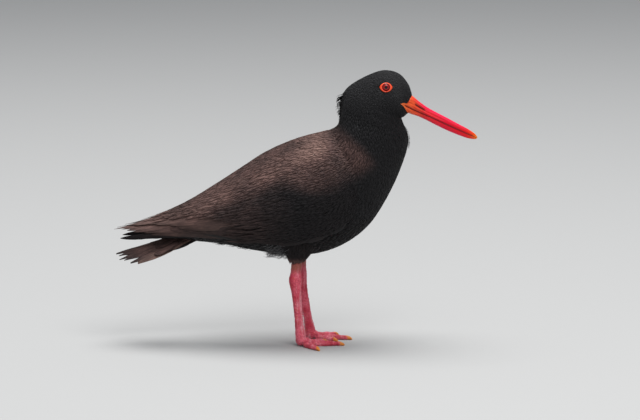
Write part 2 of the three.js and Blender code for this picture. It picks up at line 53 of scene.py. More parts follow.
# Body sections from bill root to tail root: back x, back z, belly x, belly z, half width, and the
# lift of the widest level.
BODY = np.array([
    [123, 274.5, 119.5, 255.8, 5.8, 0],  # bill root
    [118.5, 287, 118.5, 255, 7.8, 0],  # lore
    [108, 298.5, 117, 254.4, 11.4, 0.04],  # forehead
    [91.5, 301.8, 115.5, 253.2, 18.6, 0.04],  # brow
    [71.5, 295, 113.5, 251.5, 20, 0],  # crown
    [53, 283.5, 111, 249.8, 21, 0],  # back of head
    [46, 272, 112.5, 245.5, 23.5, 0],  # nape
    [44.5, 262.5, 118.5, 226.5, 28.5, 0],  # collar
    [44, 255, 113.5, 203.5, 34, 0],  # neck
    [43.5, 248, 98.5, 168, 41, 0],  # neck foot
    [40.5, 240.5, 76.5, 133, 45.5, 0.02],  # mantle
    [27, 233.5, 48.5, 111, 47.5, 0.05],  # shoulders
    [3, 224, 16, 100, 48, 0.05],  # mid back
    [-27, 207, -18, 99.5, 46.5, 0.03],  # hips
    [-57, 186, -50, 104, 43, 0],  # loin
    [-86, 168, -79, 110, 35, 0],  # rump
    [-115, 149, -108, 113.5, 24, 0],  # vent
    [-141, 132, -134, 115, 12, 0],  # tail root
])

# Folded wing from bend to tip: top x, top z on the midline, low x, low z at the lower edge, half
# width, and the turn of the section from top to low in degrees.
WING = np.array([
    [53, 233, 72, 166, 44.5, 128],  # bend
    [40, 236, 55, 143, 49.5, 130],  # wrist
    [24, 233, 33, 128, 53, 130],  # shoulder
    [-5, 225, 2, 120, 55, 130],  # upper arm
    [-37, 211, -28, 117, 53, 130],  # elbow
    [-68, 191, -60, 117, 47.5, 127],  # secondaries
    [-99, 171, -89, 119.5, 39, 122],  # rump
    [-126, 155, -120, 122, 30, 115],  # tail root
    [-153, 143, -150, 121.5, 23, 107],  # long tertials
    [-179, 134.5, -178, 118.5, 18, 104],  # primaries
    [-202, 129.5, -199, 116.5, 14, 100],  # tip
])
WING_LENGTH = WING[0, 0] - WING[-1, 0]

# The tail's fan in side view, with the turn of its outer shafts in degrees and their drop.
TAIL = {"root": (-112, 127), "tip": (-204, 99.5), "root_half": 6.5, "fan": 20, "drop": (7.4, 14.2)}
# Its feathers from the middle outwards: each shaft's share of the fan, and their lengths.
TAIL_FEATHERS = {"shafts": (0.08, 0.22, 0.42, 0.54, 0.8, 0.96), "length": 91, "shorter": 23,
                 "uneven": (0, -2, 1, -1.5, 1, 0)}

# Bill from base to tip: x, culmen z, mouth z, lower edge z, half width, which in the gape is how far
# it stands out of the face.
GAPE = slice(0, 5)
BILL = np.array([
    [106.5, 269, 268.2, 267.4, -0.8],
    [109.5, 268.9, 267.3, 265.9, -0.2],
    [112, 269.2, 266.4, 263.8, 0.35],
    [114.5, 270.8, 264.8, 260.2, 0.6],
    [117.5, 273.2, 262.8, 256.2, 0.8],
    [120.5, 274.4, 261.2, 254.8, 7.9],
    [123, 274.2, 259.8, 253.8, 7.3],
    [130, 268.4, 256.6, 251.4, 5.8],
    [139, 261.8, 252.6, 247.2, 4.9],
    [149, 256.2, 248.2, 242, 4.3],
    [161, 250, 242.6, 236.2, 3.7],
    [173.5, 243.2, 236.9, 231, 3.1],
    [184, 237.6, 232.1, 227.4, 2.4],
    [191.5, 232.6, 229, 226.3, 1.7],
    [194.5, 229, 228.1, 227.3, 0.8],
])

# Marks on the bill, each along a stretch of x: where it begins, is full, fades and ends.
BILL_MARKS = {"folds": (112, 118, 132, 150), "groove": (118, 123, 150, 166),
              "nostril": (125, 127, 135, 138), "lip": (112, 116, 188, 193)}

# Eye and lid in side view. The lid's crest stands proud of the face, and its rim is let in.
EYE = {"x": 94, "z": 285.3, "radius": 6, "cornea": 0.3}
LID = {"length": 14.2, "height": 10.3, "opening": 3.9, "proud": 1.3, "under": 1.4, "let_in": 0.3}

# Rings of a limb, from the flank to the foot: y from the midline, z, half length, half breadth.
RINGS = {
    "thigh": [[19, 128, 21, 13], [20, 112, 18, 12], [20.5, 101, 13, 9], [21, 94, 8.4, 6.2]],
    "shin": [[21, 100, 5.8, 4.9], [21, 90, 5.9, 5], [21, 82, 6.1, 5.2], [21.3, 74, 7.2, 6.3],
             [21.5, 66, 6.4, 5.5], [21.8, 56, 5.4, 4.2], [22, 38, 5, 3.8], [22.2, 23, 5.1, 4],
             [22.4, 13, 6, 5.2], [22.4, 6, 6.4, 6.2], [22.4, 1.2, 4.6, 4.6]],
}
# Each leg: x at those rings, x and y of its foot's middle, and for each toe the degrees that it turns
# inwards and its reach.
LEGS = {
    "right": {
        "thigh": [2, 0, -2, -3.6],
        "shin": [-3.4, -3.9, -4.4, -5.1, -4.8, -3.6, -2, -0.6, 0.6, 1.4, 1.6],
        "pad": (2.2, 22.4),
        "toes": {"inner": (38, 36), "middle": (2, 47), "outer": (-60, 39)},
    },
    "left": {
        "thigh": [6, 4.5, 2.5, 1.2],
        "shin": [1.2, 0.9, 0.8, 0.4, 1.2, 2.9, 6, 8.6, 10.4, 11.4, 11.6],
        "pad": (12.2, 22.4),
        "toes": {"inner": (34, 36), "middle": (8, 46), "outer": (-36, 38)},
    },
}
BARE_FROM = 92  # The leg is bare below this height.
# Toes: radii from root to tip, heights of the middle line, and how far they run inside the claws.
TOE = {"radii": [4.8, 3.9, 3.9, 3.2, 2.3], "root_height": 7, "height": 2.6, "inside": 1.5}
# Claws: they reach back over the toe, and their middle line sinks from root to tip.
CLAW = {"length": 6.5, "back": 0.5, "radius": 2.35, "breadth": 0.8, "height": (2.5, 0.9)}

# The frame's eyes give their distance from the midline, and its bill the shift from these tables.
EYES = np.array([[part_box(node)[0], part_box(node)[1]] for node in ("eye_left", "eye_right")]) / MM
EYE_Y = (EYES[0].mean(0) - EYES[1].mean(0))[1] / 2
SHIFT = np.array([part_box("bill_upper")[1].x / MM - BILL[-1, 0], EYES[:, :, 1].mean(), 0])

# The brown of the back ends below this line, given as x and z in side view, and ahead of a second
# line, given as z and x.
BROWN_LOW = np.array([[-140, 110], [-126, 123], [-104, 137], [-82, 153], [-60, 168], [-33, 179],
                      [0, 182], [38, 184], [74, 203]])
BROWN_FRONT = np.array([[139, 50], [170, 72], [203, 75], [222, 62], [240, 45], [250, 36]])
# A painted highlight, the palest brown where light falls on the top of the back, lies along this
# line, given as x and z.
PAINTED_HIGHLIGHT_LINE = np.array([[-210, 127], [-165, 131], [-126, 145], [-71, 169], [-16, 201], [16, 218],
                        [40, 226]])


def smooth(table, t):
    """A Catmull-Rom curve through the evenly spaced rows of a table, read at shares t."""
    table = np.asarray(table, float)
    last = len(table) - 1
    ends = np.concatenate([[2 * table[0] - table[1]], table, [2 * table[-1] - table[-2]]])
    span = np.clip(np.floor(t * last).astype(int), 0, last - 1)
    f = t * last - span
    f = f.reshape(f.shape + (1,) * (table.ndim - 1))
    a, b, c, d = (ends[span + k] for k in range(4))
    return b + 0.5 * f * (c - a + f * (2 * a - 5 * b + 4 * c - d + f * (3 * (b - c) + d - a)))


def ease(start, end, value):
    """0 up to start, 1 past end, and a smooth step between. With end below start it falls."""
    share = np.clip((value - start) / (end - start), 0, 1)
    return share * share * (3 - 2 * share)


def mix(a, b, share):
    """a where the share is 0, b where it is 1."""
    return a + (b - a) * share


def split(table):
    """The columns of a table of values, each on its own."""
    return np.moveaxis(table, -1, 0)


def together(*values):
    """Values spread over each other's shapes and put side by side."""
    return np.stack(np.broadcast_arrays(*values), -1)


def body(u, v, out=0):
    """The body: each section is an ellipse between its back and belly points, v turns round it from
    the back by the left flank, and out pushes along the ellipse's own normal."""
    back_x, back_z, belly_x, belly_z, half, wide = split(smooth(BODY, u))
    up, side = np.cos(2 * np.pi * v), np.sin(2 * np.pi * v)
    rise_x, rise_z = (back_x - belly_x) / 2, (back_z - belly_z) / 2
    rise = np.hypot(rise_x, rise_z)
    push = out / np.hypot(up / rise, side / half)
    high = up * (1 + push / rise**2)
    x = (back_x + belly_x) / 2 + rise_x * high
    y = half * side * (1 + wide * up) + push * side / half
    z = (back_z + belly_z) / 2 + rise_z * high
    return together(x, y, z)


def wing(u, v, out=0):
    """The left wing's outer surface: each section is the arc of an ellipse from the midline (v = 0)
    to the lower edge (v = 1), and out lifts along the ellipse's normal."""
    top_x, top_z, low_x, low_z, half, tuck = split(smooth(WING, u))
    tuck = np.radians(tuck)
    rise_x, rise_z = (top_x - low_x) / (1 - np.cos(tuck)), (top_z - low_z) / (1 - np.cos(tuck))
    rise = np.hypot(rise_x, rise_z)
    up, side = np.cos(v * tuck), np.sin(v * tuck)
    push = out / np.hypot(up / rise, side / half)
    high = up - 1 + push * up / rise**2
    return together(top_x + rise_x * high, half * side + push * side / half, top_z + rise_z * high)


def tail(u, v, out=0):
    """The tail's fan: u runs from the root to the tip of the middle feathers, v from -1 on the right
    to 1 on the left turns the shaft and lowers it, and out lifts straight up."""
    (root_x, root_z), (tip_x, tip_z) = TAIL["root"], TAIL["tip"]
    reach = (root_x - tip_x) * u
    turn = np.radians(TAIL["fan"]) * v
    drop = mix(*TAIL["drop"], u) * np.abs(v)
    x = root_x - reach * np.cos(turn)
    y = reach * np.sin(turn) + TAIL["root_half"] * v
    z = root_z - (root_z - tip_z) * u - drop + out
    return together(x, y, z)


def tube(rings, side):
    """A surface of a limb: u runs down a smooth curve through its rings, and v turns round an
    ellipse from the left by the front."""
    def limb(u, v, out=0):
        x, y, z, long, broad = split(smooth(rings, u))
        turn = 2 * np.pi * v
        return together(x + (long + out) * np.sin(turn), side * y + (broad + out) * np.cos(turn), z)
    return limb


def leg_tube(name, part):
    """The thigh or shin of a leg as a surface."""
    return tube(np.column_stack([LEGS[name][part], RINGS[part]]), SIDES[name])


def slopes(surface, u, v):
    """Change of place on the surface for each unit of u and for each unit of v."""
    step = 1e-3
    along = (surface(u + step, v) - surface(u - step, v)) / (2 * step)
    across = (surface(u, v + step) - surface(u, v - step)) / (2 * step)
    return along, across


def pace(surface, u, v):
    """Length of the surface for each unit of u and for each unit of v."""
    return [np.linalg.norm(slope, axis=-1) for slope in slopes(surface, u, v)]


# One over the plastic number, and one over its square.
SPREAD = (0.7548776662466927, 0.5698402909980532)


def scatter(surface, count, u_span=(0, 1), v_span=(0, 1), density=None):
    """Roots spread evenly by area times density: two plastic-number sequences are carried through
    the running sums of the cells' weights, first along u and then along v."""
    rows, columns = 240, 180
    u = mix(*u_span, (np.arange(rows) + 0.5) / rows)
    v = mix(*v_span, (np.arange(columns) + 0.5) / columns)
    uu, vv = np.meshgrid(u, v, indexing="ij")
    weight = np.linalg.norm(np.cross(*slopes(surface, uu, vv)), axis=-1)
    if density:
        weight = weight * density(uu, vv)
    weight = weight + 1e-9
    by_row = np.cumsum(weight.sum(1))
    by_row = np.concatenate([[0], by_row / by_row[-1]])
    in_row = np.cumsum(weight, 1)
    in_row /= in_row[:, -1:]
    order = np.arange(1, count + 1)
    first, second = ((0.5 + order * step) % 1 for step in SPREAD)
    place = np.interp(first, by_row, np.arange(rows + 1))
    row = np.minimum(place.astype(int), rows - 1)
    flat = (in_row + np.arange(rows)[:, None]).ravel()
    column = np.clip(np.searchsorted(flat, second + row) - row * columns, 0, columns - 1)
    before = np.where(column > 0, in_row[row, column - 1], 0)
    inside = (second - before) / (in_row[row, column] - before)
    return mix(*u_span, place / rows), mix(*v_span, (column + inside) / columns)


def contour(share, blunt, point):
    """Width of a feather at a share of its length: it widens from the quill and closes past blunt,
    in the arc of an ellipse where point is a half and more sharply where it is larger."""
    swell = 0.5 + 0.5 * ease(0, blunt * 0.9, share)
    past = np.clip((share - blunt) / (1.01 - blunt), 0, 1)
    return swell * np.maximum(1 - past**2, 0.004) ** point


def lay(surface, u, v, length, width, sink, lift, rings, thick, columns=3, skew=0, tilt=0,
        blunt=0.5, point=0.5, fray=0, seed=0, shaft=0, by_tip=False):
    """Vanes on a surface. Each starts at its root (u, v), or ends there by_tip, runs for its length
    from sink under the surface to lift above it, and goes straight on past the surface's end. Its
    section is a thin lens. Tilt raises the edge of larger v, fray roughens the rim and shaft is the
    height of a ridge down the middle."""
    draw = np.random.default_rng(seed)
    vanes = together(u, v, length, width, sink, lift, skew, tilt)[:, None, None]
    n = len(vanes)
    u, v, length, width, sink, lift, skew, tilt = split(vanes)
    guess = length / pace(surface, np.clip(u, 0, 1), v)[0]
    middle = np.clip(u + guess * (-0.5 if by_tip else 0.5), 0, 1)
    along_pace, across_pace = pace(surface, middle, v)
    run = length / along_pace
    root = u - run if by_tip else u
    share = np.linspace(0, 1, rings)[:, None]
    across = -np.cos(np.linspace(0, np.pi, columns)) if columns > 3 else np.array([-1.0, 0.0, 1.0])
    over = np.concatenate([across, across[-2:0:-1]])
    face = np.concatenate([np.ones(columns), -np.ones(columns - 2)])
    worn = 1 + fray * draw.uniform(-1, 1, (n, rings, 1)) * (np.abs(over) > 0.5)
    half = width / 2 * contour(share, blunt, point) * over * worn
    vv = v + skew * length / across_pace * (share - by_tip) + half / across_pace
    uu = root + run * share + 0 * over
    lens = np.sqrt(np.clip(1 - over**2, 0, 1)) * face * thick / 2 * mix(1, 0.55, share)
    ridge = shaft * np.exp(-(over / 0.09) ** 2) * face * mix(1, 0.4, share)
    rise = mix(-sink, lift, ease(0, 0.8, share))
    rise = rise + lens + ridge + tilt * over * ease(0, 0.5, share)
    kept = np.clip(uu, 0.003, 0.997)
    short = 2e-3
    points = surface(kept, vv, rise)
    slope = (points - surface(kept - short, vv, rise)) / short
    points = points + slope * (uu - kept)[..., None]
    chance = draw.uniform(0, 1, (n, 1, 1))
    return {
        "points": points,
        "vane": together(over, share, chance),
        "grain": together(half, length * share, 60 * chance),
        "roots": together(v, root),
    }


def tube_faces(rings, ring, count=1):
    """Corner numbers of closed tubes: quads between rings, and each end one flat polygon."""
    first = np.arange(count)[:, None, None] * rings * ring
    i = np.arange(rings - 1)[:, None] * ring
    j = np.arange(ring)
    k = (j + 1) % ring
    quads = np.stack([first + i + j, first + i + k, first + i + ring + k, first + i + ring + j], -1)
    near = first[:, 0] + j[::-1]
    far = first[:, 0] + (rings - 1) * ring + j
    return [quads.reshape(-1, 4), np.concatenate([near, far])]


def outwards(points, polygons):
    """The polygons of a closed mesh, turned to face outwards by the sign of its volume."""
    volume = 0
    for faces in polygons:
        corner = points[faces]
        volume += np.einsum("ij,ikj->", corner[:, 0], np.cross(corner[:, 1:-1], corner[:, 2:]))
    return [faces[:, ::-1] for faces in polygons] if volume < 0 else polygons


def in_scene(name, data):
    """A new object in the scene."""
    made = bpy.data.objects.new(name, data)
    bpy.context.scene.collection.objects.link(made)
    return made


def make(name, points, polygons, material, slot, stands_for=(), attributes=None, bake=None):
    """A Blender piece of points in mm. Its polygons are turned to face outwards."""
    points = np.asarray(points, float).reshape(-1, 3)
    polygons = outwards(points, polygons)
    mesh = bpy.data.meshes.new(name)
    corners = np.concatenate([faces.ravel() for faces in polygons]).astype(np.int32)
    sizes = np.concatenate([np.full(len(faces), faces.shape[1]) for faces in polygons])
    mesh.vertices.add(len(points))
    mesh.vertices.foreach_set("co", ((points + SHIFT) * MM).astype(np.float32).ravel())
    mesh.loops.add(len(corners))
    mesh.loops.foreach_set("vertex_index", corners)
    mesh.polygons.add(len(sizes))
    mesh.polygons.foreach_set("loop_start", (np.cumsum(sizes) - sizes).astype(np.int32))
    mesh.polygons.foreach_set("use_smooth", np.full(len(sizes), True))
    mesh.update(calc_edges=True)
    for key, values in (attributes or {}).items():
        layer = mesh.attributes.new(key, "FLOAT_VECTOR", "POINT")
        layer.data.foreach_set("vector", np.asarray(values, np.float32).ravel())
    if bake is not None:
        layer = mesh.uv_layers.new(name="OFBake")
        layer.uv.foreach_set("vector", np.asarray(bake, np.float32)[corners].ravel())
    mesh.materials.append(material)
    piece = in_scene(name, mesh)
    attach(piece, "root")
    if stands_for:
        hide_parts(*stands_for)
    return piece


def tone(laid, brown, pale=0, dark=0):
    """Gives vanes the numbers that colour their points: brown, pale rim and dark rim. Each is given
    for all, for each vane or for each point."""
    given = [np.asarray(value, float) for value in (brown, pale, dark)]
    spread = [value[:, None, None] if value.ndim == 1 else value for value in given]
    laid["tone"] = together(*spread, laid["points"][..., 0])[..., :3]
    return laid


def feathered(name, laid, slot, stands_for=(), side=1, cells=False):
    """One piece of many vanes. The bake map holds each as a patch at its root's place, or as a cell
    of its own."""
    bake, polygons, start, before = [], [], 0, 0
    wide = math.ceil(math.sqrt(sum(len(part["roots"]) for part in laid)))
    for part in laid:
        count, rings, ring, _ = part["points"].shape
        corner, patch = part["roots"] % 1 * 0.996, 0.003
        if cells:
            number = before + np.arange(count)[:, None, None]
            corner, patch = together(number % wide, number // wide) / wide, 0.9 / wide
        local = (part["vane"][..., :2] + (1, 0)) / (2, 1) * patch
        bake.append((corner + local).reshape(-1, 2))
        polygons += [faces + start for faces in tube_faces(rings, ring, count)]
        start += count * rings * ring
        before += count
    points, vane, shades, grain = (np.concatenate([part[key].reshape(-1, 3) for part in laid])
                                   for key in ("points", "vane", "tone", "grain"))
    make(name, points * (1, side, 1), polygons, PLUMAGE, slot, stands_for,
         {"vane": vane, "tone": shades, "grain": grain}, np.concatenate(bake))


class Socket:
    """An output in a material's tree. Arithmetic on it adds Math nodes."""

    def __init__(self, finish, out):
        self.finish = finish
        self.out = out

    def math(self, operation, *others):
        return self.finish.node("ShaderNodeMath", {"operation": operation}, [self, *others])

    def __add__(self, other):
        return self.math("ADD", other)

    def __sub__(self, other):
        return self.math("SUBTRACT", other)

    def __mul__(self, other):
        return self.math("MULTIPLY", other)

    def __rsub__(self, other):
        return self.finish.node("ShaderNodeMath", {"operation": "SUBTRACT"}, [other, self])

    __radd__ = __add__
    __rmul__ = __mul__

    def step(self, low, high):
        """A smooth step of this value from 0 at low to 1 at high."""
        return self.finish.node("ShaderNodeMapRange", {"interpolation_type": "SMOOTHSTEP"},
                                {"Value": self, "From Min": low, "From Max": high})


class Finish:
    """A material in the making, with one Principled shader."""

    def __init__(self, name, **plain):
        self.material = bpy.data.materials.new(name)
        self.material.use_nodes = True
        self.tree = self.material.node_tree
        self.shader = self.tree.nodes["Principled BSDF"]
        for key, value in plain.items():
            self.shader.inputs[key.replace("_", " ")].default_value = value

    def node(self, kind, settings, inputs, output=0):
        """Adds a node: its settings first, then a value or a link for each of its inputs."""
        made = self.tree.nodes.new(kind)
        for key, value in settings.items():
            if key == "stops":
                ramp = made.color_ramp
                while len(ramp.elements) < len(value):
                    ramp.elements.new(0.5)
                for element, (place, shade) in zip(ramp.elements, value):
                    element.position = place
                    element.color = colour(*shade)
            else:
                setattr(made, key, value)
        for key, value in inputs.items() if isinstance(inputs, dict) else enumerate(inputs):
            self.feed(made.inputs[key], value)
        return Socket(self, made.outputs[output])

    def feed(self, socket, value):
        """Links a socket to an output, or sets its plain value."""
        if isinstance(value, Socket):
            self.tree.links.new(value.out, socket)
        else:
            socket.default_value = value

    def wear(self, base, height=None, strength=0, distance=0):
        """Gives the shader its colour and the bumps of a height, in metres for each unit of it, and
        returns the finished material."""
        self.feed(self.shader.inputs["Base Color"], base)
        if height:
            inputs = {"Height": height, "Strength": strength, "Distance": distance}
            bumps = self.node("ShaderNodeBump", {}, inputs, "Normal")
            self.feed(self.shader.inputs["Normal"], bumps)
        return self.material

    def place(self, stretch=(1, 1, 1)):
        """Where on the piece a point is, in metres, each axis stretched."""
        where = self.node("ShaderNodeTexCoord", {}, {}, "Object")
        return self.node("ShaderNodeMapping", {}, {"Vector": where, "Scale": stretch})

    def noise(self, scale, detail=2, where=None):
        """Clouds over the piece, or over another place."""
        return self.node("ShaderNodeTexNoise", {},
                         {"Vector": where or self.place(), "Scale": scale, "Detail": detail})

    def vector(self, x, y, z):
        """A vector of three numbers."""
        return self.node("ShaderNodeCombineXYZ", {}, [x, y, z])

    def parts(self, vector):
        """The three numbers of a vector."""
        return [self.node("ShaderNodeSeparateXYZ", {}, [vector], k) for k in range(3)]

    def attribute(self, name):
        """The three numbers that each point of the piece carries under a name."""
        return self.parts(self.node("ShaderNodeAttribute", {"attribute_name": name}, {}, "Vector"))

    def blend(self, share, a, b):
        """Colour a where the share is 0, b where it is 1. A plain one is given as on a screen."""
        a, b = (paint if isinstance(paint, Socket) else colour(*paint) for paint in (a, b))
        return self.node("ShaderNodeMix", {"data_type": "RGBA"}, {0: share, 6: a, 7: b}, 2)

    def layers(self, base, *over):
        """A colour with others laid over it in turn, each given as its share and itself."""
        for share, paint in over:
            base = self.blend(share, base, paint)
        return base


def colour(red, green, blue):
    """A screen colour of 0 to 255 a channel as the linear colour that a shader takes."""
    screen = np.array([red, green, blue]) / 255
    linear = np.where(screen < 0.04045, screen / 12.92, ((screen + 0.055) / 1.055) ** 2.4)
    return (*map(float, linear), 1)


def feather_finish():
    """Plumage: black to brown by each point's tone, streaked along the barbs that slant from the
    shaft to the rim, with paler or darker rims. A share of brown past 0.75 is painted a paler tan
    as a painted highlight. The pale rims are the feathers' own fringes and, on the head, a painted
    sheen. The dark rims are their own dark edges and, low on the belly, painted shade."""
    finish = Finish("plumage", Roughness=0.75, Specular_IOR_Level=0.2)
    across, along, chance = finish.attribute("vane")
    brown, pale, dark = finish.attribute("tone")
    side, reach, number = finish.attribute("grain")
    away = across.math("ABSOLUTE")
    slant = reach * 0.1 - side.math("ABSOLUTE") * 0.22
    barb = finish.noise(1.5, 3, finish.vector(side * 1.4 + number, slant, number))
    streak = finish.noise(1.5, 3, finish.vector(side * 0.5 + number, reach * 0.03, number))
    cloud = finish.noise(38, 3)
    light_barb = barb.step(0.45, 0.8)
    black = finish.blend(chance * 0.35 + cloud * 0.65, (10, 10, 11), (27, 26, 28))
    earth = finish.blend(chance * 0.4 + cloud * 0.6, (56, 40, 40), (100, 74, 70))
    # Painted highlight: a paler tan over the brown where its share passes 0.75, along the top of the
    # back.
    highlight_tan = finish.blend(barb, (112, 84, 78), (172, 138, 126))
    earth = finish.layers(earth, (light_barb * 0.6, (148, 114, 104)),
                          (streak.step(0.48, 0.7) * 0.35, (142, 110, 101)),
                          ((1 - streak.step(0.3, 0.48)) * 0.4, (36, 25, 26)),
                          (brown.step(0.75, 1.3) * 0.7, highlight_tan))
    patchy = (brown * (cloud.step(0.3, 0.65) * 0.45 + 0.75)).math("MINIMUM", 1)
    # Colour of the pale rims: the feathers' own pale fringes, and on the head a painted sheen.
    worn = finish.blend(brown.step(0, 0.4), (160, 160, 162), (172, 142, 126))
    rim = (away.step(0.6, 1) * 0.6 + along.step(0.88, 1)).math("MINIMUM", 1)
    edge = (away.step(0.6, 0.98) * 0.6 + along.step(0.62, 1)).math("MINIMUM", 1)
    shaft = 1 - away.step(0, 0.1)
    # The dark rims are the feathers' own dark edges, and low on the belly painted shade.
    base = finish.layers(black, (light_barb * 0.5, (42, 40, 41)), (patchy, earth),
                         ((rim * 0.6 + barb * 0.5) * pale, worn), (edge * dark, (11, 9, 10)),
                         (shaft * 0.3 * brown, (28, 19, 18)))
    return finish.wear(base, barb, 0.25, 0.0003)


def clouded_finish(name, roughness, detail, dark, light):
    """A plain finish that clouds between two colours."""
    finish = Finish(name, Roughness=roughness)
    return finish.wear(finish.blend(finish.noise(500, detail), dark, light))


def bill_finish():
    """Bill horn: orange-red at the base, crimson between and orange at the tip, finely streaked,
    with a painted reflection as a pinkish band along the edges, and painted shade darkening the
    nostril, the mouth line and the folds."""
    finish = Finish("bill_horn", Roughness=0.36, Specular_IOR_Level=0.28)
    share, level, groove = finish.attribute("horn")
    streak = finish.noise(2.2, 4, finish.vector(share * 5, level * 3, 0))
    stops = [(0, (254, 128, 60)), (0.16, (250, 96, 46)), (0.34, (238, 36, 44)),
             (0.6, (230, 8, 46)), (0.86, (230, 10, 26)), (0.95, (238, 66, 4)), (1, (246, 140, 16))]
    base = finish.node("ShaderNodeValToRGB", {"stops": stops}, [share + (streak - 0.5) * 0.16])
    # Painted reflection: a pinkish crimson band along each mandible's highest level, the culmen above
    # and the lower edge below.
    crimson = level.step(0.5, 0.95) * share.step(0.12, 0.35) * (1 - share.step(0.75, 0.95))
    dark_streak = streak.step(0.5, 0.72) * (1 - share.step(0.1, 0.5))
    # Over it: the painted reflection, the real dark streaks at the base, and painted shade in the
    # nostril, mouth line and folds.
    base = finish.layers(base, (crimson * 0.8, (234, 12, 76)), (dark_streak * 0.6, (190, 14, 12)),
                         (groove, (104, 4, 10)))
    return finish.wear(base, streak, 0.12, 0.0005)


def eye_finish():
    """Eye: black pupil, dark red iris with a darker rim, under a wet coat."""
    finish = Finish("eye_ball", Roughness=0.22, Specular_IOR_Level=0.35, Coat_Weight=0.15,
                    Coat_Roughness=0.03)
    radius = finish.attribute("disc")[0]
    fibre = finish.noise(900, 3)
    iris = finish.blend(fibre, (124, 8, 16), (178, 24, 30))
    iris = finish.blend(radius.step(2.9, 3.9), iris, (58, 4, 6))
    return finish.wear(finish.blend(radius.step(1.6, 1.9), (5, 4, 6), iris))


def lid_finish():
    """Bare lid: bright red-orange, redder in its folds."""
    finish = Finish("lid_skin", Roughness=0.45)
    grain = finish.noise(700, 3)
    reach = finish.attribute("fold")[0]
    base = finish.layers(finish.blend(grain, (228, 50, 10), (242, 84, 22)),
                         (1 - reach.step(0.05, 0.4), (172, 14, 8)))
    return finish.wear(base, grain, 0.5, 0.0004)


def leg_finish():
    """Leg skin: crimson-pink scales flecked orange and browner up at the thigh, with painted shade
    in the seams between scales and painted streaks of highlight and shade down the leg.
    """
    finish = Finish("leg_skin", Roughness=0.42, Specular_IOR_Level=0.45)
    cell = finish.node("ShaderNodeTexVoronoi", {"feature": "DISTANCE_TO_EDGE"},
                       {"Vector": finish.place((1, 1, 1.7)), "Scale": 420}, "Distance")
    # The seams between scales, darkened below as painted shade.
    seam = 1 - cell.step(0.02, 0.16)
    cloud, fine = finish.noise(95, 4), finish.noise(330, 3)
    # Noise stretched down the leg: its high values give painted highlight streaks, its low values
    # painted shade streaks.
    down = finish.noise(230, 3, finish.place((1, 1, 0.16)))
    height = finish.parts(finish.place())[2]
    base = finish.layers(finish.blend(cloud.step(0.3, 0.7), (208, 48, 74), (246, 116, 136)),
                         (down.step(0.5, 0.7) * 0.6, (250, 184, 192)),
                         ((1 - down.step(0.3, 0.45)) * 0.6, (164, 24, 50)),
                         (fine.step(0.55, 0.75) * 0.5, (222, 96, 50)),
                         (seam * 0.6, (168, 26, 52)),
                         (height.step(0.078, 0.088) * 0.75, (128, 76, 50)))
    return finish.wear(base, cell, 0.9, 0.001)


PLUMAGE = feather_finish()
UNDER = clouded_finish("under_down", 0.9, 2, (20, 19, 20), (34, 30, 30))
BILL_HORN = bill_finish()
EYE_BALL = eye_finish()
LID_SKIN = lid_finish()
LEG_SKIN = leg_finish()
CLAW_HORN = clouded_finish("claw_horn", 0.4, 3, (206, 104, 26), (232, 150, 58))


def joined(surfaces):
    """Points and polygons of several closed tubes, each given as a surface, its rows and its
    columns, and each turned to face outwards."""
    points, polygons, start = [], [], 0
    for surface, rows, columns in surfaces:
        u = np.linspace(0, 1, rows)[:, None]
        v = np.arange(columns) / columns
        flat = surface(u, v).reshape(-1, 3)
        points.append(flat)
        polygons += [faces + start for faces in outwards(flat, tube_faces(rows, columns))]
        start += len(flat)
    return np.concatenate(points), polygons


def inset(surface, depth):
    """The surface moved inwards by a depth."""
    return lambda u, v: surface(u, v, -depth)


def bird_skin():
    """One closed skin: the body's tube, a coat's depth inside, with both thighs sunk in it."""
    def flesh(u, v):
        return body(u, v, -mix(0.9, 2.6, ease(0.2, 0.5, u)))

    surfaces = [(flesh, 150, 96)] + [(inset(leg_tube(name, "thigh"), 1.5), 24, 40) for name in SIDES]
    nodes = ["torso", "neck", "head", "thigh_left", "thigh_right"]
    make("skin", *joined(surfaces), UNDER, "plumage", nodes)


OUTSIDE = 9  # Stands for any place well outside an outline.


def bill_fill(place):
    """How far out a point is in the bill's elliptical section, whose rim is at 1."""
    x, y, z = split(place)
    top, mouth, low, half = (np.interp(x, BILL[:, 0], BILL[:, k]) for k in (1, 2, 3, 4))
    tall = np.where(z > mouth, top - mouth, mouth - low)
    out = np.hypot((z - mouth) / tall, y / half)
    return np.where(x > BILL[0, 0], out, OUTSIDE)


def lid_fill(place):
    """The same in the lid's almond, in side view."""
    x, y, z = split(place)
    out = np.hypot((x - EYE["x"]) / (LID["length"] / 2), (z - EYE["z"]) / (LID["height"] / 2))
    return np.where(np.abs(y) > 8, out, OUTSIDE)


def brown_and_highlight(place):
    """0 on black plumage to 1 on the brown of the back, by the two lines that bound it in side
    view, with a slow wave so that the border isn't straight. Along the highlight line it rises,
    up to 1.22 towards the shoulders, as a painted highlight."""
    x, y, z = split(place)
    wave = 2 * np.sin(x / 9) + 2 * np.sin(z / 7 + x / 23)
    above = ease(-17, 15, z - np.interp(x, *BROWN_LOW.T) + wave)
    behind = ease(-12, 10, np.interp(z, *BROWN_FRONT.T) - x + wave)
    # Painted highlight: the brown is raised in a band along the highlight line, where light falls on
    # the top of the back.
    off = z - np.interp(x, *PAINTED_HIGHLIGHT_LINE.T) + 0.6 * wave
    ridge = np.where(off > 0, mix(0.6, 1, np.exp(-((off / 16) ** 2))), np.exp(-((off / 11) ** 2)))
    return above * behind * mix(0.6, mix(0.9, 1.22, ease(-15, 20, x)), ridge * ease(-48, -15, -x))


def wing_brown_and_highlight(place):
    """The same on the wing, where the lower feathers also turn a dark brown towards the tail."""
    x = place[..., 0]
    return np.maximum(brown_and_highlight(place), mix(0.02, 0.3, ease(0, 80, -x)))


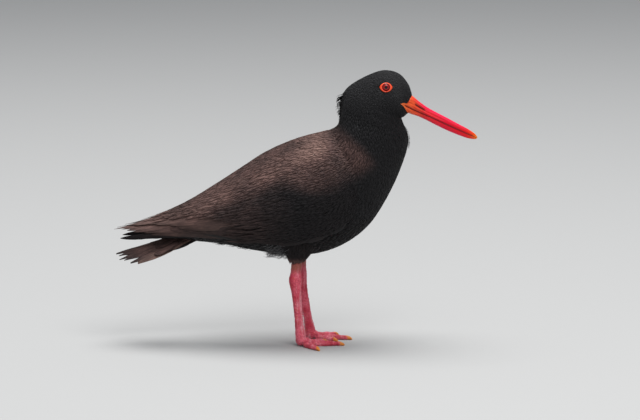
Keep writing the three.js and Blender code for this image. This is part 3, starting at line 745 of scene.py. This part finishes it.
def under_wing(place):
    """True where the folded wing hides the body: well above its lower edge, behind the bend."""
    x, y, z = split(place)
    order = np.argsort(WING[:, 2])
    low = np.interp(x, WING[order, 2], WING[order, 3])
    return (x < 30) & (x > -128) & (z > low + 16)


# Contour feathers from the bill to the tail root: u from and to, how many, their length and width
# at both ends, and how deep their roots are.
COAT = {
    "face": (0, 0.21, 7000, (2.6, 4.6), (1, 1.5), 0.5),
    "nape": (0.21, 0.38, 6800, (4.6, 7.5), (1.5, 2.4), 0.8),
    "neck": (0.38, 0.55, 6900, (7.5, 11), (2.4, 3.4), 1.2),
    "breast": (0.55, 0.72, 6600, (11, 14), (3.4, 4.2), 1.6),
    "belly": (0.72, 1, 4600, (14, 16), (4.2, 4.6), 1.8),
}


def body_coat():
    """The contour feathers, left out under wings, lids and bill, with paler rims high on the head
    as a painted sheen and darker ones low on the belly as painted shade."""
    for seed, (name, (low, high, count, lengths, widths, depth)) in enumerate(COAT.items()):
        u, v = scatter(body, count, (low, high))
        place = body(u, v)
        keep = (bill_fill(place) > 1) & (lid_fill(place) > 0.93) & ~under_wing(place)
        u, v = u[keep], v[keep]
        draw = np.random.default_rng(40 + seed)
        share = (u - low) / (high - low)
        size = draw.uniform(0.8, 1.2, len(u))
        laid = lay(body, u, v, mix(*lengths, share) * size, mix(*widths, share) * size,
                   depth, draw.uniform(0, 0.5, len(u)), rings=4, thick=0.2,
                   skew=draw.normal(0, 0.09, len(u)), blunt=0.4, seed=seed)
        height = laid["points"][..., 2]
        # Pale rims grow higher on the head as a painted sheen, and dark rims grow lower on the belly
        # as painted shade.
        pale = 0.04 + 0.12 * ease(250, 280, height)
        dark = mix(0.1, 0.8, ease(155, 115, height))
        tone(laid, brown_and_highlight(laid["points"]), pale, dark)
        feathered("coat_" + name, [laid], "plumage")


# Loose tufts that stand off the body: u from and to, v middle, v spread, how many, length, width,
# how far the tips stand off, and how pale they are.
LOOSE = {
    "nape": (0.32, 0.45, 0, 0.03, 70, 8.5, 3.2, 5.6, 0),
    "hackle": (0.3, 0.5, 0, 0.1, 160, 9, 1.4, 1.8, 0),
    "throat": (0.36, 0.41, 0.5, 0.03, 40, 10, 1.6, 2.6, 0),
    "vent": (0.742, 0.785, 0.5, 0.14, 420, 11, 1, 6.5, 1),
    "undertail": (0.82, 0.9, 0.5, 0.12, 110, 9, 1.3, 2.6, 0),
    "collar": (0.44, 0.47, 0.83, 0.012, 9, 5, 0.7, 0.9, 0.55),
}


def loose_tufts():
    """The loose tufts, in one piece."""
    laid = []
    for seed, tuft in enumerate(LOOSE.values()):
        low, high, middle, spread, count, length, width, off, pale = tuft
        draw = np.random.default_rng(90 + seed)
        u, v = draw.uniform(low, high, count), middle + draw.normal(0, spread / 2, count)
        vanes = lay(body, u, v, length * draw.uniform(0.7, 1.2, count), width, 0.8,
                    off * draw.uniform(0.1, 1, count) ** 1.5, rings=6, thick=0.35, blunt=0.3,
                    point=1.2, skew=draw.normal(0, 0.15, count), seed=seed)
        laid.append(tone(vanes, 0, pale))
    feathered("tufts_loose", laid, "plumage")


# Rows of wing feathers: how many, first and last tip as (u, v), length, width, lift, pale rim, dark
# rim, how far along a feather starts to close, and how sharply it does.
WING_ROWS = {
    "outer_primaries": (3, (0.9, 1), (0.985, 0.93), 84, 10, -1.5, 0, 1, 0.66, 0.8),
    "primaries": (6, (0.85, 0.9), (1.01, 0.24), 96, 12.5, -0.8, 0.15, 0.65, 0.6, 0.75),
    "secondaries": (13, (0.4, 1), (0.77, 0.78), 62, 13, -0.3, 0.05, 0.4, 0.72, 0.6),
    "tertials": (6, (0.73, 0.74), (0.95, 0.2), 95, 18, 0.5, 0.2, 0.55, 0.6, 0.65),
    "inner_coverts": (6, (0.54, 0.72), (0.7, 0.46), 58, 15, 0.5, 0.1, 0.4, 0.6, 0.6),
    "greater_coverts": (15, (0.3, 1), (0.62, 0.58), 42, 12, 0.4, 0.05, 0.15, 0.62, 0.6),
    "median_coverts": (14, (0.2, 0.99), (0.5, 0.55), 34, 12, 0.5, 0.05, 0.1, 0.6, 0.6),
    "lesser_coverts": (14, (0.1, 0.95), (0.38, 0.5), 28, 12, 0.3, 0.05, 0.1, 0.55, 0.6),
    "scapulars_sixth": (6, (0.64, 0.5), (0.72, 0.1), 66, 15, 1.1, 0.15, 0.15, 0.55, 0.7),
    "scapulars_fifth": (6, (0.56, 0.52), (0.63, 0.09), 56, 15, 1.1, 0.12, 0.12, 0.55, 0.7),
    "scapulars_fourth": (6, (0.47, 0.52), (0.54, 0.09), 46, 15, 1.1, 0.12, 0.1, 0.5, 0.7),
    "scapulars_third": (6, (0.38, 0.5), (0.45, 0.08), 38, 15, 1, 0.1, 0.1, 0.5, 0.7),
    "scapulars_second": (6, (0.29, 0.47), (0.36, 0.07), 32, 15, 0.9, 0.1, 0.1, 0.5, 0.6),
    "scapulars_first": (6, (0.2, 0.44), (0.28, 0.07), 26, 15, 0.7, 0.1, 0.1, 0.5, 0.6),
}
BLACK_ROW = "outer_primaries"


def wing_feathers(name, side):
    """The wing's flight feathers, coverts and scapulars, row by row."""
    laid = []
    for order, (row, values) in enumerate(WING_ROWS.items()):
        count, first, last, length, width, lift, pale, dark, blunt, point = values
        draw = np.random.default_rng(100 * (2 + side) + order)
        share = np.linspace(0, 1, count)
        tip_u = mix(first[0], last[0], share) + draw.normal(0, 0.006, count)
        tip_v = mix(first[1], last[1], share)
        vanes = lay(wing, tip_u, tip_v, length * draw.uniform(0.93, 1.07, count),
                    width * draw.uniform(0.92, 1.08, count), 3,
                    lift + draw.uniform(-0.1, 0.1, count), rings=20, columns=11, thick=0.45,
                    skew=draw.normal(0, 0.015, count), tilt=0.25, blunt=blunt, point=point,
                    fray=0.06, seed=order, shaft=0.12, by_tip=True)
        brown = wing_brown_and_highlight(vanes["points"]) + draw.normal(0, 0.03, count)[:, None, None]
        brown = np.maximum(brown, 0) * (0.1 if row == BLACK_ROW else 1)
        laid.append(tone(vanes, brown, pale, dark))
    feathered("wing_feathers_" + name, laid, "wing", ["wing_" + name], side=side, cells=True)


def wing_coat(name, side):
    """Fine narrow vanes over the coverts and scapulars, sparser towards the long feathers."""
    def density(u, v):
        end = mix(0.8, 0.54, ease(0.4, 0.8, v))
        return mix(1.7, 0.8, ease(0, 0.5, u)) * ease(0, 0.3, end - u)

    u, v = scatter(wing, 4000, (0, 0.8), (-0.015, 1), density)
    draw = np.random.default_rng(300 + side)
    size = draw.uniform(0.8, 1.2, len(u))
    lift = mix(0.3, 1.3, ease(0, 0.12, u)) + draw.uniform(0, 0.35, len(u))
    length = np.minimum(mix(11, 30, ease(0, 0.7, u)) * size, 0.94 * WING_LENGTH * (1 - u))
    laid = lay(wing, u, v, length, mix(2.3, 3.1, u) * size,
               mix(2.6, 0.6, ease(0, 0.1, u)), lift, rings=6, thick=0.18, blunt=0.4, point=0.7,
               skew=draw.normal(0, 0.04, len(u)), seed=310 + side)
    brown = wing_brown_and_highlight(laid["points"])
    feathered("coat_wing_" + name, [tone(laid, brown, 0.1 * brown, 0.05)], "wing", side=side)


def wing_down(name, side):
    """The wing's flesh: a closed slab just inside its surface, thinner towards the tip and open over
    the back where the scapulars lie."""
    rows, columns = 40, 24
    u = np.linspace(0.02, 0.8, rows)[:, None]
    top = mix(0.24, 0.02, ease(0.15, 0.55, u))
    v = top + (mix(1, 0.8, ease(0.55, 0.8, u)) - top) * np.linspace(0, 1, columns)
    outer = wing(u, v, -1.6)
    inner = wing(u, v, -mix(7, 2.4, ease(0.5, 0.8, u)))
    points = np.concatenate([outer, inner[:, ::-1]], 1) * (1, side, 1)
    make("wing_down_" + name, points, tube_faces(rows, 2 * columns), UNDER, "wing")


def tail_feathers():
    """Twelve tail feathers in a fan, each pair a little under the one inside it and the outer ones
    shorter, narrower and more upright, with coverts above and below their roots."""
    laid = []
    away = np.array(TAIL_FEATHERS["shafts"])
    outer = away > 0.9
    length = TAIL_FEATHERS["length"] - TAIL_FEATHERS["shorter"] * away**2 + TAIL_FEATHERS["uneven"]
    for side in SIDES.values():
        vanes = lay(tail, np.full(len(away), 0.04), side * away, length, 12.5 - 4.5 * away**2,
                    0.3, 0.4 - 1.6 * away, rings=26, thick=0.5, columns=11,
                    tilt=-side * (0.25 + 1.1 * away**4), point=1.25, fray=0.04, shaft=0.2,
                    seed=20 + side)
        laid.append(tone(vanes, 0.85 - 0.15 * away, np.where(outer, 0.55, 0.12),
                         np.where(outer, 0.5, 0.9)))
    draw = np.random.default_rng(9)
    count = 60
    for seed, (sink, lift, brown) in enumerate([(-2.5, 0.7, 0.6), (4.5, -1.2, 0.1)], 30):
        root = draw.uniform(-0.12, 0.16, count)
        share = draw.uniform(-1, 1, count)
        vanes = lay(tail, root + 0.1, share, draw.uniform(24, 34, count), 8, sink, lift, rings=12,
                    thick=0.4, columns=7, fray=0.05, skew=draw.normal(0, 0.04, count), seed=seed)
        laid.append(tone(vanes, brown, 0.05, 0.3))
    feathered("tail_feathers", laid, "wing", ["tail"], cells=True)


def thigh_coat():
    """Soft tufts down the thighs, ragged and browner where they end above the bare leg."""
    for number, name in enumerate(SIDES):
        thigh = leg_tube(name, "thigh")
        u, v = scatter(thigh, 2200, (0.1, 0.94))
        draw = np.random.default_rng(60 + number)
        room = thigh(u, v)[:, 2] - BARE_FROM
        length = np.minimum(draw.uniform(8, 12, len(u)), room * draw.uniform(0.5, 1.15, len(u)))
        laid = lay(thigh, u, v, length, draw.uniform(1.4, 2.4, len(u)), 1.2,
                   draw.uniform(-0.4, 0.6, len(u)), rings=4, thick=0.3, blunt=0.35,
                   skew=draw.normal(0, 0.15, len(u)), seed=70 + number)
        brown = 0.05 + 0.7 * ease(BARE_FROM + 7, BARE_FROM + 1, laid["points"][..., 2])
        feathered("coat_thigh_" + name, [tone(laid, brown)], "plumage", ["thigh_" + name])


# The head's part of the body table, from behind the bill root to the back of the head.
HEAD_SPAN = (0.5 / (len(BODY) - 1), 5 / (len(BODY) - 1))


def head_side(x, z):
    """Half width of the head at x and z in side view: the section through that place is found by
    halving its span of u."""
    low, high = (np.full(x.shape, end) for end in HEAD_SPAN)
    for _ in range(24):
        middle = (low + high) / 2
        back_x, back_z, belly_x, belly_z = split(smooth(BODY, middle))[:4]
        ahead = (x - belly_x) * (back_z - belly_z) - (z - belly_z) * (back_x - belly_x) < 0
        low, high = np.where(ahead, middle, low), np.where(ahead, high, middle)
    back_z, belly_z = split(smooth(BODY, low))[1:4:2]
    up = np.clip(2 * (z - belly_z) / (back_z - belly_z) - 1, -1, 1)
    return np.abs(body(low, np.arccos(up) / (2 * np.pi))[..., 1])


BILL[GAPE, 4] += head_side(BILL[GAPE, 0], BILL[GAPE, 2])


def marked(name, x):
    """1 along the stretch of the bill that has a mark, easing in and out at its ends."""
    begins, full, fades, ends = BILL_MARKS[name]
    return ease(begins, full, x) * (1 - ease(fades, ends, x))


def mandible(upper):
    """Half of the bill: a rounded arc from the mouth line to the culmen or lower edge, folded at the
    base, with a lip along the mouth, and a groove and a nostril in the upper half."""
    rows, columns = 150, 72
    t = (np.linspace(0, 1, rows) ** 0.9)[:, None]
    x, top, mouth, low, half = split(smooth(BILL, t))
    turn = 2 * np.pi * (np.arange(columns) + 0.5) / columns
    up, out = np.cos(turn), np.sin(turn)
    seat = mouth + (0.12 if upper else -0.12)
    tall = np.maximum(top - seat if upper else seat - low, 0.35)
    boxy = mix(0.5, 0.85, ease(114, 140, x))
    level = np.maximum(up, 0) ** mix(0.7, 1, ease(106, 135, x))
    rise = np.where(up > 0, tall * level, 0.02 * up)
    folds = np.cos(level * 9 * np.pi) * marked("folds", x)
    lip = np.exp(-((level / 0.16) ** 2)) * marked("lip", x)
    groove = np.exp(-(((level - 0.42) / 0.12) ** 2)) * marked("groove", x) * upper
    nostril = np.exp(-(((level - 0.5) / 0.09) ** 2)) * marked("nostril", x) * upper
    cut = 0.2 * folds + 0.35 * lip + (0.5 * groove + 1.4 * nostril) * (up > 0)
    y = (half * np.abs(out) ** boxy - cut) * np.sign(out)
    z = seat + rise if upper else seat - rise
    bare_base, tip = 108, BILL[-1, 0]
    share = (x - bare_base) / (tip - bare_base)
    # Painted shade: dark in the nostril, along the mouth line and in the deepest cuts of the folds.
    dark = np.clip(1.3 * nostril + 0.8 * lip + 0.4 * ease(0.4, 1, folds), 0, 1)
    name = "bill_upper" if upper else "bill_lower"
    make("horn_" + name, together(x, y, z), tube_faces(rows, columns), BILL_HORN, "bill", [name],
         {"horn": together(share, level, dark)})


def eye(name, side):
    """The eyeball: a sphere about the optical axis with a slight bulge of the cornea."""
    rows, columns = 60, 64
    angle = np.linspace(0.01, np.pi - 0.01, rows)[:, None]
    turn = 2 * np.pi * np.arange(columns) / columns
    radius = EYE["radius"] + EYE["cornea"] * np.exp(-((angle / 0.55) ** 2))
    x = EYE["x"] + radius * np.sin(angle) * np.cos(turn)
    y = side * (EYE_Y + radius * np.cos(angle))
    z = EYE["z"] + radius * np.sin(angle) * np.sin(turn)
    disc = np.where(angle < np.pi / 2, radius * np.sin(angle), OUTSIDE)
    make("ball_eye_" + name, together(x, y, z), tube_faces(rows, columns), EYE_BALL, "eye",
         ["eye_" + name], {"disc": together(disc, 0 * turn, 0)})


def eyelid(name, side):
    """The bare lid: a ring whose section runs from a round opening over a rounded crest to an
    almond outline that is sunk in the face, and back underneath."""
    rows, columns = 96, 28
    turn = (2 * np.pi * np.arange(rows) / rows)[:, None]
    ring = 2 * np.pi * np.arange(columns) / columns
    reach = 0.5 - 0.5 * np.cos(ring)
    crest = np.sin(ring)
    out_x = LID["length"] / 2 * np.cos(turn)
    out_z = LID["height"] / 2 * np.sign(np.sin(turn)) * np.abs(np.sin(turn)) ** 1.3
    x = EYE["x"] + mix(LID["opening"] * np.cos(turn), out_x, reach)
    z = EYE["z"] + mix(LID["opening"] * np.sin(turn), out_z, reach)
    bulge = np.where(crest > 0, LID["proud"] * np.maximum(crest, 0) ** 0.8, LID["under"] * crest)
    y = side * (head_side(x, z) + bulge - LID["let_in"])
    around = tube_faces(rows + 1, columns)[0] % (rows * columns)
    make("lid_" + name, together(x, y, z), [around], LID_SKIN, "lid",
         ["eyelid_" + name], {"fold": together(reach, 0 * turn, 0)})


def from_pad(name, bearing, run, across):
    """x and y of a place so far out from a foot's middle on a bearing, and so far across."""
    heading = np.radians(bearing) * -SIDES[name]
    x, y = LEGS[name]["pad"]
    return (x + run * np.cos(heading) - across * np.sin(heading),
            SIDES[name] * y + run * np.sin(heading) + across * np.cos(heading))


def toe_surface(name, bearing, reach):
    """A toe: a tube that comes down from the foot and lies along the floor, swelling at each pad."""
    flat = reach - CLAW["length"] + TOE["inside"]

    def toe(u, v, out=0):
        thick = smooth(TOE["radii"], u) * (1 + 0.08 * np.cos(u * 6 * np.pi)) + out
        height = mix(TOE["root_height"], TOE["height"], ease(0, 0.42, u)) * mix(1, 0.9, u)
        x, y = from_pad(name, bearing, flat * u, thick * np.sin(2 * np.pi * v))
        z = np.maximum(height + thick * np.cos(2 * np.pi * v), 0)
        return together(x, y, z)
    return toe


def modify(piece, kind, **settings):
    """Adds a modifier with its settings."""
    added = piece.modifiers.new(kind.lower(), kind)
    for key, value in settings.items():
        setattr(added, key, value)


def leg_skin(name):
    """Shin, tarsus and toes fused into one skin, with small raised scales."""
    depth = 0.15
    surfaces = [(inset(leg_tube(name, "shin"), depth), 60, 40)]
    nodes = ["shank_" + name, "tarsus_" + name]
    for place, toe in LEGS[name]["toes"].items():
        surfaces.append((inset(toe_surface(name, *toe), depth), 30, 28))
        nodes.append(f"toe_{place}_{name}")
    piece = make("skin_leg_" + name, *joined(surfaces), LEG_SKIN, "leg", nodes)
    modify(piece, "REMESH", mode="VOXEL", voxel_size=0.45 * MM, use_smooth_shade=True)
    modify(piece, "SMOOTH", factor=0.5, iterations=5)
    scales = bpy.data.textures.new("scales_" + name, "VORONOI")
    scales.noise_scale = 1.7 * MM
    modify(piece, "DISPLACE", texture=scales, texture_coords="LOCAL", strength=-0.9 * MM,
           mid_level=0.4)
    seen = piece.evaluated_get(bpy.context.evaluated_depsgraph_get())
    fused = bpy.data.meshes.new_from_object(seen)
    piece.modifiers.clear()
    piece.data = fused


def claws(name):
    """Short blunt cones that carry on from each toe and bend down to the floor."""
    rows, columns = 20, 20
    share = np.linspace(0, 1, rows)[:, None]
    turn = 2 * np.pi * np.arange(columns) / columns
    radius = CLAW["radius"] * np.sqrt(1.02 - share**2)
    z = np.maximum(mix(*CLAW["height"], share**2) + radius * np.cos(turn), 0)
    for place, (bearing, reach) in LEGS[name]["toes"].items():
        run = reach + (CLAW["length"] + CLAW["back"]) * (share - 1)
        x, y = from_pad(name, bearing, run, CLAW["breadth"] * radius * np.sin(turn))
        make(f"horn_claw_{place}_{name}", together(x, y, z), tube_faces(rows, columns),
             CLAW_HORN, "claw", [f"claw_{place}_{name}"])


bird_skin()
body_coat()
loose_tufts()
thigh_coat()
tail_feathers()
mandible(True)
mandible(False)
for NAME, SIDE in SIDES.items():
    wing_down(NAME, SIDE)
    wing_feathers(NAME, SIDE)
    wing_coat(NAME, SIDE)
    eye(NAME, SIDE)
    eyelid(NAME, SIDE)
    leg_skin(NAME)
    claws(NAME)


# The room in metres: half the floor's side, each lamp's place, size and power, and what they aim at.
FLOOR_HALF = 14
LAMPS = {"key": ((0.6, -1.6, 2.2), 1.6, 32), "top": ((-0.2, 0.6, 4.6), 3.6, 230)}
LAMP_AIM = 0.15
# The view: its aim in the tables' millimetres, degrees above level, distance and width of the strip
# it shows in metres, and the sensor in millimetres.
VIEW = {"aim": (22, 0, 147.8), "raised": 8, "distance": 4, "width": 0.704, "sensor": 36}


def studio():
    """A pale floor and surround, and two soft lamps: in front and above."""
    half = FLOOR_HALF
    mesh = bpy.data.meshes.new("floor")
    mesh.from_pydata([(-half, -half, 0), (half, -half, 0), (half, half, 0), (-half, half, 0)], [],
                     [(0, 1, 2, 3)])
    finish = Finish("floor_paint", Roughness=0.9)
    mesh.materials.append(finish.wear(colour(178, 178, 177)))
    floor = in_scene("floor", mesh)
    world = bpy.data.worlds.new("surround")
    world.use_nodes = True
    surround = world.node_tree.nodes["Background"].inputs
    surround["Color"].default_value = colour(232, 236, 242)
    surround["Strength"].default_value = 0.42
    bpy.context.scene.world = world
    bpy.context.scene.view_settings.view_transform = "Standard"
    for name, (place, size, power) in LAMPS.items():
        light = bpy.data.lights.new(name, "AREA")
        light.shape = "DISK"
        light.size = size
        light.energy = power
        lamp = in_scene(name, light)
        lamp.location = place
        lean = math.atan2(math.hypot(place[0], place[1]), place[2] - LAMP_AIM)
        lamp.rotation_euler = (lean, 0, math.atan2(place[0], -place[1]))


def camera():
    """The photograph's view: from far off, a little above the flank."""
    raised, distance = math.radians(VIEW["raised"]), VIEW["distance"]
    lens = bpy.data.cameras.new("view")
    lens.sensor_width = VIEW["sensor"]
    lens.lens = VIEW["sensor"] * distance / VIEW["width"]
    lens.clip_end = 50
    seen = in_scene("view", lens)
    back = distance * np.array([0, -math.cos(raised), math.sin(raised)])
    seen.location = (np.array(VIEW["aim"]) + SHIFT) * MM + back
    seen.rotation_euler = (math.pi / 2 - raised, 0, 0)
    bpy.context.scene.camera = seen


studio()
camera()
